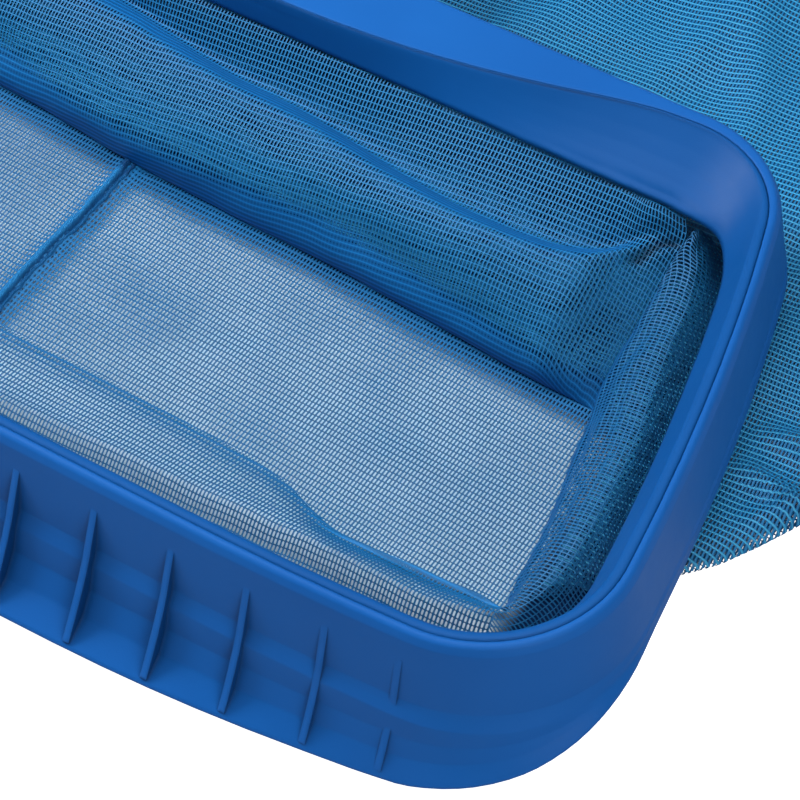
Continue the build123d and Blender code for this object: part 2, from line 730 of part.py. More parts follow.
def floor_piece(box_x):
    """The floor within a 400 wide box whose left face is at box_x."""
    box = Solid.make_box(400, 500, 4, Plane(origin=(box_x, -120, -1)))
    return largest_solid(spread_layer(0.0).intersect(box))


def opening_path(side, fold_x):
    path = [(side * x, interpolate(FOLD, side * x) + OPENING_CLEARANCE) for x in fold_x]
    return path + [(side * x, y) for x, y in OPENING_SIDE]


def back_layer():
    """Upper layer of the spill, over the floor layer outside the tub."""
    path = opening_path(1, OPENING_X) + opening_path(-1, OPENING_X[1:])[::-1]
    opening = Solid.extrude(Face(polygon(path, 0)), Vector(0, 0, 8))
    return largest_solid(spread_layer(BACK_LAYER_Z).cut(opening))


def floor_seam():
    corner = (SEAM_X - SEAM_W / 2, SEAM_FRONT_Y + 3.5, FAB_T + 0.1)
    return Solid.make_box(SEAM_W, SEAM_LEN, SEAM_T, Plane(origin=corner))


# ------------------------------------------------------------------
# write the parts
# ------------------------------------------------------------------
PARTS = {
    "frame_body": frame_body(),
    "bag_ring": bag_ring(),
    "ring_screws": ring_screws(),
    "pole_stub": pole_stub(),
    "stub_screws": Compound(children=[stub_screw(y) for y in SCREW_Y]),
    "stub_nuts": Compound(children=[stub_nut(y) for y in SCREW_Y]),
    "clip_bow": clip_bow(),
    "clip_leg_right": clip_leg(1),
    "clip_leg_left": clip_leg(-1),
    "button_right": button(1),
    "button_left": button(-1),
    "hem_cord": hem_cord(),
    "bag_front": bag_front(),
    "bag_side_right": thick_sheet(side_rows()),
    "bag_side_left": thick_sheet(mirror_rows(side_rows())),
    "bag_rear": bag_rear(),
    "bag_floor_right": floor_piece(SEAM_X + GAP / 2),
    "bag_floor_left": floor_piece(SEAM_X - GAP / 2 - 400),
    "bag_back_layer": back_layer(),
    "bag_floor_seam": floor_seam(),
}

os.makedirs("parts", exist_ok=True)
for name, shape in PARTS.items():
    export_step(shape, f"parts/{name}.step")
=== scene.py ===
# A blue net bag hung in a moulded rim frame: its cloth forms a shallow tub inside the rim
# and spreads out flat behind and beside it.
# x runs to the right, y to the rear, z up from the floor. Shapes are in millimetres
# and become metres when a mesh is made; lights and camera are in metres.
import json
import math

import bpy
import numpy as np
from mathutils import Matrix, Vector, noise


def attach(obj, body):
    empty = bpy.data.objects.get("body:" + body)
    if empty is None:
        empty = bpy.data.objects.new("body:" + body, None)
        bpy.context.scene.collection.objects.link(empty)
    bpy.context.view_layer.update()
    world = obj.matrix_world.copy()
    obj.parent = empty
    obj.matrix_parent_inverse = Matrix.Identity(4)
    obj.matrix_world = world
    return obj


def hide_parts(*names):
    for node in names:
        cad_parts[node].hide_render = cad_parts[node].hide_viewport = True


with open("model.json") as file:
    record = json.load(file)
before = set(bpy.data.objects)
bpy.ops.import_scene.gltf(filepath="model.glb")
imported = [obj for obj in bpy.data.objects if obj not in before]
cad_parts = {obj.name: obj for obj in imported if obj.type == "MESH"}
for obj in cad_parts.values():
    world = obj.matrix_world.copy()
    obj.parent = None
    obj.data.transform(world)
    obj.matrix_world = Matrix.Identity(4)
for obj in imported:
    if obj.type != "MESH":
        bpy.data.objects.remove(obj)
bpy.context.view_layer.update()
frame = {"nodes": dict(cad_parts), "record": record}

MM = 0.001

# Driving dimensions
FRONT_Y = -106.7                  # front edge of the rim
FRONT_HALF = 105.0                # half length of its straight front
ARCS = [(1005.0, 4.0), (44.85, 92.6), (822.0, 9.35)]    # radius, turn in degrees
REAR_RADIUS = 40.3
HEM_OFFSET, HEM_Z = -4.9, 37.0    # hem of the net, inside the rim
CELL_U, CELL_V = 1.2, 2.07        # pitch of the mesh across and along its slots
SEAM_X = -15.7                    # seam across the bag's floor
SEAM_GAP = 0.2                    # each floor sheet stops this far from the seam
SPREAD_X = 250.0                  # half width of the spread bag
REAR_END = 162                    # the rear panel spans this far to each side
FRONT_END = 177                   # and the front panel this far

# Tables of (x, y) or (x, z), read with smooth()
FOLD_Y = [      # where the rear panel meets the floor
    (-156, 22.6), (-140, 31.0), (-120, 37.0), (-95, 40.5), (-72, 40.3), (-20, 34.8),
    (17, 32.4), (63, 30.7), (113, 26.3), (140, 24.3), (160.6, 23.4)]
RING_Y = [      # rear run of the ring
    (-170, 75.0), (-161, 75.2), (-145, 76.6), (-125, 78.0), (-60, 78.3), (0, 77.8),
    (54, 77.6), (92, 78.2), (125, 78.0), (145, 76.6), (161, 75.2), (170, 75.0)]
RIDGE_Y = [     # ridge in front of the ring
    (-150, 64), (-131, 58), (-112, 61), (-95, 68), (-75, 71), (-47, 69.3), (-6, 62.7),
    (46, 58.5), (70, 55.0), (90.5, 52.0), (112, 52.0), (131, 54.6), (145, 60.5)]
FALL_Y = [      # lower part of the fall from the ridge
    (-140, 33), (-120, 40), (-73, 44.6), (-33, 36.2), (1, 33.6), (61, 34.6),
    (107, 30.4), (143, 25.6), (160, 23.6)]
FALL_Z = [(-140, 11), (-73, 16), (-33, 14), (1, 14.5), (61, 18), (107, 15),
          (143, 11.5), (160, 8)]
ROLL_Y = [      # crest of the low roll under the front rail
    (-180, -59), (-167, -62), (-120, -64.5), (-60, -66), (0, -68), (27.6, -66.8),
    (49, -66.4), (75, -65.8), (98, -65.2), (115, -64.4), (142, -65.0), (156, -64.6),
    (167, -62.0), (177, -59.0)]
ROLL_Z = [(-180, 9), (-120, 8), (0, 5.5), (49, 7.2), (98, 8.6), (142, 9.2), (177, 9.2)]
FRONT_LINE_Y = [    # where the front roll meets the floor
    (-177, -51.5), (-120, -46), (0, -42), (60, -43), (100, -47), (118, -53.2),
    (129, -53.1), (141, -52.4), (157, -51.6), (170, -51.0), (177, -52.4)]
REAR_EDGE = [       # rear outline of the spread bag, right half
    (0, 268.5), (60, 267.5), (120, 263.5), (174, 250.5), (208, 227.5), (231, 195.5),
    (244, 159), (248.5, 138), (250, 122)]
SIDE_EDGE = [       # its side outline, right half, straight between points
    (177, -51.5), (180, -44), (192, -34), (203, -24), (212.1, -14.5), (220.0, -5.5),
    (226.8, 6.2), (233.0, 19.3), (242, 50), (249, 84), (250, 122)]
LAYER_X = 182       # beyond this the upper layer reaches the side outline
SPREAD_EDGE = [p for p in SIDE_EDGE if LAYER_X <= p[0] < SPREAD_X] + REAR_EDGE[::-1]


# ------------------------------------------------------------------
# rim outline, right half, from the middle of the front to the middle of the rear
# ------------------------------------------------------------------
def follow_arc(x, y, heading, radius, turn):
    """End of an arc that turns left from x, y."""
    centre_x, centre_y = x - radius * math.sin(heading), y + radius * math.cos(heading)
    heading += turn
    return centre_x + radius * math.sin(heading), centre_y - radius * math.cos(heading), heading


def build_rim():
    """Segments (start, x, y, heading, radius), radius None if straight; whole length."""
    segments = [(0.0, 0.0, FRONT_Y, 0.0, None)]
    x, y, heading, start = FRONT_HALF, FRONT_Y, 0.0, FRONT_HALF
    rear_turn = 180.0 - sum(turn for _, turn in ARCS)
    for radius, degrees in ARCS + [(REAR_RADIUS, rear_turn)]:
        segments.append((start, x, y, heading, radius))
        turn = math.radians(degrees)
        x, y, heading = follow_arc(x, y, heading, radius, turn)
        start += radius * turn
    segments.append((start, x, y, heading, None))
    return segments, start + x


RIM, RIM_LENGTH = build_rim()


def rim_point(distance, offset=0.0, z=0.0):
    """Point at a distance along the rim, moved outwards by an offset."""
    start, x, y, heading, radius = next(
        seg for seg in reversed(RIM) if distance >= seg[0] - 1e-9)
    run = distance - start
    if radius is None:
        x, y = x + run * math.cos(heading), y + run * math.sin(heading)
    else:
        x, y, heading = follow_arc(x, y, heading, radius, run / radius)
    return x + math.sin(heading) * offset, y - math.cos(heading) * offset, z


def rim_distance(x):
    """Distance along the front of the rim at which it reaches x, by bisection."""
    low, high = 0.0, 215.0
    for _ in range(30):
        middle = 0.5 * (low + high)
        if rim_point(middle)[0] < x:
            low = middle
        else:
            high = middle
    return low


# ------------------------------------------------------------------
# interpolation, noise and grids
# ------------------------------------------------------------------
def hermite(points, params, wanted):
    """Catmull-Rom through rows of points at params, evaluated at wanted."""
    points, params, wanted = (np.asarray(a, float) for a in (points, params, wanted))
    column = [-1] + [1] * (points.ndim - 1)
    slope = np.diff(points, axis=0) / np.diff(params).reshape(column)
    tangent = np.empty_like(points)
    tangent[0], tangent[-1] = slope[0], slope[-1]
    for i in range(1, len(params) - 1):
        before, after = params[i] - params[i - 1], params[i + 1] - params[i]
        tangent[i] = (slope[i - 1] * after + slope[i] * before) / (before + after)
    k = np.clip(np.searchsorted(params, wanted, side="right") - 1, 0, len(params) - 2)
    step = (params[k + 1] - params[k]).reshape(column)
    u = ((wanted - params[k]) / (params[k + 1] - params[k])).reshape(column)
    return ((2 * u**3 - 3 * u**2 + 1) * points[k] + (u**3 - 2 * u**2 + u) * step * tangent[k]
            + (-2 * u**3 + 3 * u**2) * points[k + 1] + (u**3 - u**2) * step * tangent[k + 1])


def smooth(table, x):
    """Smooth look-up in a table of (x, value)."""
    table = np.asarray(table, float)
    x = np.clip(np.atleast_1d(x), table[0, 0], table[-1, 0])
    return hermite(table[:, 1], table[:, 0], x)


def smooth_one(table, x):
    return float(smooth(table, x)[0])


def linear(table, x):
    """Straight-line look-up in a table of (x, value)."""
    return np.interp(x, *zip(*table))


def unit(x):
    return np.clip(x, 0, 1)


def bell(x, width, power=2):
    return np.exp(-(x / width) ** power)


def loft(stations, station_at, rows, spans):
    """Dense grid through stations of control points; spans: steps between the points."""
    stations = np.asarray(stations, float)
    mean = np.linalg.norm(np.diff(stations, axis=1), axis=2).mean(axis=0)
    params = np.r_[0, np.cumsum(np.maximum(mean, 0.5) ** 0.7)]
    dense = [np.linspace(params[i], params[i + 1], steps, endpoint=False)
             for i, steps in enumerate(spans)]
    dense = np.concatenate(dense + [[params[-1]]])
    return hermite(np.stack([hermite(s, params, dense) for s in stations]), station_at, rows)


def arc_length(grid, axis):
    steps = np.linalg.norm(np.diff(grid, axis=axis), axis=2)
    zero = np.zeros_like(np.take(steps, [0], axis=axis))
    return np.concatenate([zero, np.cumsum(steps, axis=axis)], axis=axis)


def fractal_noise(x, y, scale, seed, octaves=2):
    x, y = np.broadcast_arrays(np.asarray(x, float), np.asarray(y, float))
    total = np.zeros(x.size)
    amplitude, frequency = 1.0, 1.0 / scale
    for octave in range(octaves):
        values = (noise.noise(Vector((a * frequency, b * frequency, seed + 7.3 * octave)))
                  for a, b in zip(x.ravel(), y.ravel()))
        total = total + amplitude * np.fromiter(values, float, count=x.size)
        amplitude *= 0.5
        frequency *= 2.0
    return total.reshape(x.shape)


def offset_normal(grid, amount):
    """Moves a grid of points along its own surface normal."""
    normal = np.cross(np.gradient(grid, axis=0), np.gradient(grid, axis=1))
    normal /= np.maximum(np.linalg.norm(normal, axis=2, keepdims=True), 1e-9)
    return grid + normal * amount[..., None]


def edge_fade(count, first, last):
    """Weights over the columns that fall to 0 at both ends."""
    j = np.arange(count)
    return (unit(j / first) * unit((count - 1 - j) / last))[None, :]


def path_distance(x, y, path):
    path = np.array(path, float)
    nearest = np.full(x.shape, 1e9)
    for start, end in zip(path[:-1], path[1:]):
        along = end - start
        dx, dy = x - start[0], y - start[1]
        u = unit((dx * along[0] + dy * along[1]) / (along ** 2).sum())
        nearest = np.minimum(nearest, np.hypot(dx - u * along[0], dy - u * along[1]))
    return nearest


def inside(x, y, outline):
    """Even-odd test of arrays of points against a polygon."""
    result = np.zeros(x.shape, bool)
    for (xa, ya), (xb, yb) in zip(outline, outline[1:] + outline[:1]):
        crosses = (ya > y) != (yb > y)
        with np.errstate(divide="ignore", invalid="ignore"):
            cross_x = (xb - xa) * (y - ya) / (yb - ya) + xa
        result ^= crosses & (x < cross_x)
    return result


def grid_quads(rows, columns):
    index = np.arange(rows * columns).reshape(rows, columns)
    corners = [index[:-1, :-1], index[1:, :-1], index[1:, 1:], index[:-1, 1:]]
    return np.stack(corners, axis=-1).reshape(-1, 4)


# ------------------------------------------------------------------
# shader trees
# ------------------------------------------------------------------
class Value:
    """An output in a node tree; arithmetic on it adds Math nodes."""

    def __init__(self, shader, socket):
        self.shader = shader
        self.socket = socket

    def __add__(self, other):
        return self.shader.math("ADD", self, other)

    def __radd__(self, other):
        return self.shader.math("ADD", other, self)

    def __sub__(self, other):
        return self.shader.math("SUBTRACT", self, other)

    def __rsub__(self, other):
        return self.shader.math("SUBTRACT", other, self)

    def __mul__(self, other):
        return self.shader.math("MULTIPLY", self, other)

    def __truediv__(self, other):
        return self.shader.math("DIVIDE", self, other)

    def __pow__(self, other):
        return self.shader.math("POWER", self, other)

    def clamped(self):
        """Clamps the Math node behind this value to 0..1."""
        self.socket.node.use_clamp = True
        return self


class Shader:
    """A material with one Principled surface. In keyword settings a capital marks a node's
    input, given as a number, colour or Value; lower case marks a property."""

    def __init__(self, name):
        self.material = bpy.data.materials.new(name)
        self.material.use_nodes = True
        self.tree = self.material.node_tree
        self.tree.nodes.clear()
        end = self.tree.nodes.new("ShaderNodeOutputMaterial")
        self.bsdf = self.tree.nodes.new("ShaderNodeBsdfPrincipled")
        self.tree.links.new(self.bsdf.outputs[0], end.inputs[0])

    def feed(self, socket, value):
        if isinstance(value, Value):
            self.tree.links.new(value.socket, socket)
        else:
            socket.default_value = value

    def apply(self, node, settings):
        for key, value in settings.items():
            if key[0].isupper():
                self.feed(node.inputs[key.replace("_", " ")], value)
            else:
                setattr(node, key, value)

    def surface(self, **settings):
        self.apply(self.bsdf, settings)

    def outputs(self, kind, numbered=None, **settings):
        """Adds a node and returns its outputs by name; numbered: inputs by index."""
        node = self.tree.nodes.new("ShaderNode" + kind)
        self.apply(node, settings)
        for index, value in (numbered or {}).items():
            self.feed(node.inputs[index], value)
        return {socket.name: Value(self, socket) for socket in node.outputs if socket.enabled}

    def output(self, kind, output=0, numbered=None, **settings):
        """Adds a node and returns one of its outputs."""
        node = self.tree.nodes.new("ShaderNode" + kind)
        self.apply(node, settings)
        for index, value in (numbered or {}).items():
            self.feed(node.inputs[index], value)
        return Value(self, node.outputs[output])

    def math(self, operation, *operands):
        return self.output("Math", numbered=dict(enumerate(operands)), operation=operation)

    def mix(self, factor, a, b, blend_type="MIX"):
        return self.output("Mix", 2, {0: factor, 6: a, 7: b},
                           data_type="RGBA", blend_type=blend_type)

    def noise(self, vector, output="Fac", **inputs):
        return self.output("TexNoise", output, Vector=vector, **inputs)

    def attribute(self, name):
        return self.output("Attribute", "Fac", attribute_name=name)

    def object_coords(self):
        return self.output("TexCoord", "Object")

    def weave_coords(self):
        return self.output("UVMap", uv_map="weave")

    def ramp(self, factor, stops):
        node = self.tree.nodes.new("ShaderNodeValToRGB")
        elements = node.color_ramp.elements
        while len(elements) > 1:
            elements.remove(elements[-1])
        elements[0].position, elements[0].color = stops[0]
        for position, colour in stops[1:]:
            elements.new(position).color = colour
        self.feed(node.inputs[0], factor)
        return Value(self, node.outputs[0])


def srgb(*levels):
    def linearise(c):
        c /= 255.0
        return c / 12.92 if c <= 0.04045 else ((c + 0.055) / 1.055) ** 2.4
    return tuple(linearise(c) for c in levels) + (1.0,)


def shaded(colour, factor, lift=0.0):
    return tuple(min(1.0, c * factor + lift) for c in colour[:3]) + (1.0,)


# ------------------------------------------------------------------
# materials
# ------------------------------------------------------------------
def plastic(name, light, dark, roughness=0.46, edge_mm=1.5):
    """Satin moulded plastic: faint cloudiness, fine orange peel, light scuffs, a painted
    highlight on sharp edges and painted shade in recesses.
    """
    sh = Shader(name)
    coords = sh.object_coords()
    big = sh.noise(coords, Scale=14.0, Detail=3.0, Roughness=0.55)
    medium = sh.noise(coords, Scale=160.0, Detail=4.0, Roughness=0.6)
    fine = sh.noise(coords, Scale=2600.0, Detail=2.0)
    colour = sh.ramp(big, [(0.3, dark), (0.7, light)])
    # very fine scuffs, stretched along the moulding
    stretched = sh.output("Mapping", Vector=coords, Scale=(60.0, 900.0, 300.0),
                          Rotation=(0.0, 0.0, 0.45))
    scratches = sh.noise(stretched, Scale=1.0, Detail=5.0, Roughness=0.7)
    scuff = ((scratches - 0.66).clamped() * 1.6).clamped()
    # lighter colour shared by the scuffs, which are wear, and the painted highlight on sharp
    # edges
    scuff_and_highlight_colour = shaded(light, 1.35, lift=0.01)
    colour = sh.mix(scuff * 0.35, colour, scuff_and_highlight_colour)
    # painted highlight: sharp convex edges, found by pointiness, are lightened
    pointiness = sh.output("NewGeometry", "Pointiness")
    edge_highlight = ((pointiness - 0.52).clamped() * 5.0).clamped()
    colour = sh.mix(edge_highlight * 0.4, colour, scuff_and_highlight_colour)
    # painted shade: an ambient-occlusion node darkens the recesses between ribs and in the crease
    occlusion = sh.output("AmbientOcclusion", "AO", samples=8, only_local=True, Distance=0.045)
    painted_shade_ramp = sh.ramp(occlusion, [(0.22, (0, 0, 0, 1)), (0.60, (0.50, 0.50, 0.50, 1)),
                                   (0.98, (1, 1, 1, 1))])
    # moulded edges are rounded over and blend into each other
    rounded = sh.output("Bevel", samples=6, Radius=edge_mm * MM)
    peel = sh.output("Bump", Strength=0.08, Distance=0.0004, Height=fine, Normal=rounded)
    waves = sh.output("Bump", Strength=0.06, Distance=0.0008, Height=medium, Normal=peel)
    sh.surface(Base_Color=sh.mix(painted_shade_ramp, shaded(dark, 0.16), colour),
               Roughness=(medium * 0.10 + (roughness - 0.05) + scuff * 0.15).clamped(),
               Specular_IOR_Level=0.11, Normal=waves)
    return sh.material


def steel(name, tint, roughness):
    """Bright steel with drawn lines and slight staining."""
    sh = Shader(name)
    coords = sh.object_coords()
    stretched = sh.output("Mapping", Vector=coords, Scale=(400.0, 30.0, 400.0))
    lines = sh.noise(stretched, Scale=3.0, Detail=4.0)
    stain = sh.noise(coords, Scale=220.0, Detail=3.0)
    sh.surface(Base_Color=sh.ramp(stain, [(0.25, shaded(tint, 0.62)), (0.65, tint)]),
               Metallic=1.0, Roughness=(lines * 0.25 + (roughness - 0.12)).clamped(),
               Normal=sh.output("Bump", Strength=0.25, Distance=0.0002, Height=lines))
    return sh.material


def twisted_cord(name):
    sh = Shader(name)
    strands = sh.output("TexWave", "Fac", Vector=sh.object_coords(), Scale=420.0,
                        Distortion=1.5, Detail=2.0, bands_direction="DIAGONAL")
    colour = sh.ramp(strands, [(0.1, srgb(14, 52, 104)), (0.8, srgb(30, 92, 160))])
    sh.surface(Base_Color=colour, Roughness=0.7,
               Normal=sh.output("Bump", Strength=0.6, Distance=0.0005, Height=strands))
    return sh.material


def weave(name, warp, weft, thread_side_shade, closed, half_u, half_v, jitter=0.05):
    """Open leno mesh. The UV map counts cells: u across the slots, v along them. half_u and
    half_v are half the thread widths. Round threads close the slots at a grazing view."""
    sh = Shader(name)
    uv = sh.weave_coords()
    cell = sh.outputs("SeparateXYZ", Vector=uv)
    # slow wander and small thread-to-thread irregularity
    wander_colour = sh.noise(uv, "Color", Scale=0.045, Detail=1.0)
    wander = sh.outputs("SeparateColor", Color=wander_colour)
    uneven_colour = sh.noise(uv, "Color", Scale=0.9, Detail=1.0)
    uneven = sh.outputs("SeparateColor", Color=uneven_colour)

    def from_centre(axis, channel, wander_size, pitch):
        """Distance from the hole's centre, mm."""
        place = cell[axis] + (wander[channel] - 0.5) * wander_size
        place = place + (uneven[channel] - 0.5) * jitter
        return sh.math("ABSOLUTE", sh.math("FRACT", place) - 0.5) * pitch

    across = from_centre("X", "Red", 0.5, CELL_U)
    along = from_centre("Y", "Green", 0.4, CELL_V)
    # grazing factor, from the tangent of the viewing angle
    geometry = sh.outputs("NewGeometry")
    facing = sh.output("VectorMath", "Value", {0: geometry["True Normal"],
                                               1: geometry["Incoming"]},
                       operation="DOT_PRODUCT")
    cosine = sh.math("MAXIMUM", sh.math("ABSOLUTE", facing), 0.08)
    tangent = sh.math("SQRT", (1.0 - cosine * cosine).clamped()) / cosine
    graze = sh.math("MINIMUM", sh.math("MAXIMUM", tangent - 0.75, 0.0) * 0.17, 0.9)
    # the "dense" attribute: above 0 cloth lies doubled or bunched, below 0 it is painted shade
    # that darkens folds and valleys
    dense = sh.attribute("dense")
    shade = sh.math("MAXIMUM", dense * -1.0, 0.0)
    bunched = sh.math("MAXIMUM", dense, 0.0)
    graze = sh.math("MINIMUM", graze + bunched * 0.95, 1.05)
    hole_u = sh.math("MAXIMUM", (CELL_U / 2 - half_u) - graze * 0.28, 0.001)
    hole_v = sh.math("MAXIMUM", (CELL_V / 2 - half_v) - graze, 0.001)
    outside = (across / hole_u) ** 3.0 + (along / hole_v) ** 4.0

    def thread_height(distance, pitch, half_width):
        """Round section: 1 on the thread's centre line, 0 at its edge."""
        off_line = (pitch / 2 - distance) / half_width
        return sh.math("SQRT", (1.0 - off_line * off_line).clamped())

    warp_height = thread_height(across, CELL_U, half_u)
    weft_height = thread_height(along, CELL_V, half_v) * 1.12
    height = sh.math("MAXIMUM", warp_height, weft_height)
    is_weft = sh.math("GREATER_THAN", weft_height, warp_height * 0.98)
    # fine twist of the filaments
    twist = sh.noise(uv, Scale=3.1, Detail=2.0)
    colour = sh.mix(is_weft, warp, weft)
    # painted shade: the sides of the round threads are darkened
    colour = sh.mix((1.0 - height).clamped() * 0.7, colour, thread_side_shade)
    colour = sh.mix((graze * 0.95).clamped() * 0.92, colour, closed)
    variation = sh.ramp(twist, [(0.25, (0.88, 0.88, 0.9, 1)), (0.75, (1.07, 1.07, 1.06, 1))])
    colour = sh.mix(1.0, colour, variation, blend_type="MULTIPLY")
    # where the slots close, the rows of threads still show as soft stripes
    stripe = (along / (CELL_V / 2)) ** 2.0
    brightness = 1.0 + graze * (stripe * 0.75 - 0.30)
    # painted shade: below 0 the attribute darkens folds and valleys
    brightness = brightness * (1.0 - shade * 0.80)
    colour = sh.output("VectorMath", 0, {0: colour}, operation="SCALE", Scale=brightness)
    relief = height * (1.0 - graze).clamped()
    sh.surface(Alpha=sh.math("GREATER_THAN", outside, 1.0), Base_Color=colour,
               Roughness=0.5, Specular_IOR_Level=0.22,
               Normal=sh.output("Bump", Strength=0.45, Distance=0.0002, Height=relief))
    return sh.material


def seam_cloth(name):
    """Felled seam: folded mesh, stitched, so the weave is dense and speckled; a darker copy of
    its colours is mixed in as painted shade.
    """
    sh = Shader(name)
    uv = sh.weave_coords()
    speckle = sh.noise(uv, Scale=1.6, Detail=4.0, Roughness=0.7)
    twill = sh.output("TexWave", "Fac", Vector=uv, Scale=1.1, Distortion=4.0, Detail=2.0,
                      bands_direction="DIAGONAL")
    pattern = speckle * 0.65 + twill * 0.35
    lit = sh.ramp(pattern, [(0.25, srgb(8, 70, 130)), (0.5, srgb(16, 112, 178)),
                            (0.8, srgb(64, 156, 208))])
    dark = sh.ramp(pattern, [(0.25, srgb(4, 48, 92)), (0.8, srgb(10, 82, 140))])
    # the attribute mixes in the dark copy: painted shade
    sh.surface(Base_Color=sh.mix(sh.attribute("dense"), lit, dark),
               Roughness=0.6, Specular_IOR_Level=0.12,
               Normal=sh.output("Bump", Strength=0.8, Distance=0.0006, Height=pattern))
    return sh.material


FRAME = plastic("frame_blue", light=srgb(20, 90, 166), dark=srgb(17, 84, 158))
# the ring is a darker copy of the frame's blue: painted shade, so the ring's inner face reads
# dimmer
RING_PAINTED_SHADE = plastic("ring_blue_painted_shade", light=srgb(10, 78, 146), dark=srgb(8, 73, 138), edge_mm=2.0)
BUTTON = plastic("button_grey", light=srgb(205, 208, 210), dark=srgb(188, 192, 196),
                 roughness=0.5)
SCREW = steel("screw_steel", tint=srgb(196, 198, 202), roughness=0.32)
SPRING = steel("spring_steel", tint=srgb(176, 180, 188), roughness=0.26)
CORD = twisted_cord("hem_cord")
NET_TUB = weave("net_tub", warp=srgb(22, 112, 168), weft=srgb(34, 126, 180),
                thread_side_shade=srgb(4, 38, 92), closed=srgb(10, 92, 156), half_u=0.25, half_v=0.15)
# the side panels take a darker copy of the tub's colours: painted shade, so they read dimmer
NET_SIDE_PAINTED_SHADE = weave("net_side", warp=srgb(17, 98, 150), weft=srgb(27, 110, 162),
                 thread_side_shade=srgb(4, 34, 84), closed=srgb(9, 82, 140), half_u=0.25, half_v=0.15)
NET_FLOOR = weave("net_floor", warp=srgb(28, 106, 158), weft=srgb(16, 88, 138),
                  thread_side_shade=srgb(8, 52, 100), closed=srgb(18, 108, 168), half_u=0.27, half_v=0.17)
NET_SPILL = weave("net_spill", warp=srgb(22, 112, 166), weft=srgb(56, 152, 196),
                  thread_side_shade=srgb(6, 50, 100), closed=srgb(16, 104, 160), half_u=0.34, half_v=0.30,
                  jitter=0.09)
SEAM = seam_cloth("felled_seam")

SLOT_MATERIALS = {"frame_plastic": FRAME, "fastener_steel": SCREW, "spring_steel": SPRING,
                  "button_plastic": BUTTON, "cord": CORD}


def dress_cad_pieces():
    for row in frame["record"]["subparts"]:
        piece = frame["nodes"][row["node"]]
        is_ring = row["node"] == "bag_ring"
        # the ring gets the darker copy of the blue: painted shade
        material = RING_PAINTED_SHADE if is_ring else SLOT_MATERIALS.get(row["material_slot"])
        if material is None:
            continue
        if not piece.material_slots:
            piece.data.materials.append(material)
        for slot in piece.material_slots:
            slot.material = material


# ------------------------------------------------------------------
# cloth sheets as dense grids
# ------------------------------------------------------------------
def stack_uv(u, v):
    return np.stack(np.broadcast_arrays(u, v), -1)


def cells(u, v):
    """UV map in mesh cells from lengths in mm."""
    return stack_uv(u / CELL_U, v / CELL_V)


def sheet(name, grid, uv, material, replaced, dense=0.0, flip=False):
    """Makes one mesh of a grid (rows, columns, 3) in mm."""
    rows, columns = grid.shape[:2]
    quads = grid_quads(rows, columns)
    if flip:
        quads = quads[:, ::-1]
    corners = quads.reshape(-1)
    mesh = bpy.data.meshes.new(name)
    mesh.vertices.add(rows * columns)
    mesh.vertices.foreach_set("co", (grid.reshape(-1) * MM).astype(np.float32))
    mesh.loops.add(len(corners))
    mesh.loops.foreach_set("vertex_index", corners.astype(np.int32))
    mesh.polygons.add(len(quads))
    mesh.polygons.foreach_set("loop_start", np.arange(0, len(corners), 4, dtype=np.int32))
    mesh.polygons.foreach_set("loop_total", np.full(len(quads), 4, np.int32))
    layer = mesh.uv_layers.new(name="weave")
    layer.data.foreach_set("uv", uv.reshape(-1, 2)[corners].reshape(-1).astype(np.float32))
    mesh.update(calc_edges=True)
    dense = np.broadcast_to(np.clip(dense, -1.0, 1.1), (rows, columns)).ravel()
    attribute = mesh.attributes.new("dense", "FLOAT", "POINT")
    attribute.data.foreach_set("value", dense.astype(np.float32))
    mesh.validate()
    mesh.shade_smooth()
    piece = bpy.data.objects.new(name, mesh)
    bpy.context.scene.collection.objects.link(piece)
    mesh.materials.append(material)
    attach(piece, "net")
    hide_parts(replaced)


# ---- rear panel: hangs from the ring, sags into a trough, rolls over a ridge, falls to the floor
REAR_X = [-140, -120, -95, -70, -45, -20, 5, 30, 55, 80, 100, 118, 132, 143]
# the two stations at the right end, (x, y, z) from the ring down
REAR_RIGHT_MID = [
    (150.0, 84.0, 37.0), (150.0, 76.6, 39.3), (150.2, 75.2, 38.2), (151.0, 73.0, 35.6),
    (151.4, 70.4, 31.4), (151.5, 67.6, 31.0), (151.6, 63.6, 31.8), (152.0, 57.0, 28.0),
    (152.4, 42.0, 19.0), (152.6, 29.4, 11.0), (152.8, 25.4, 5.0), (152.8, 25.4, 1.7),
    (153, 31, 1.5)]
REAR_RIGHT_END = [
    (160.5, 84.0, 37.0), (161.0, 77.6, 37.6), (161.6, 76.6, 36.4), (162.2, 76.0, 35.6),
    (162.6, 75.4, 34.6), (162.9, 74.6, 33.8), (163.0, 72.0, 31.4), (162.6, 64.0, 25.6),
    (162.4, 46.0, 14.4), (162.2, 33.0, 6.8), (161.8, 27.0, 3.2), (161.6, 25.0, 1.4),
    (162, 30, 1.3)]
# (x, y) of the short pinched fold at the right rear corner
PINCH = [(148.0, 58.0), (153.6, 62.8), (155.4, 67.2), (157.6, 70.4), (160.6, 72.0)]


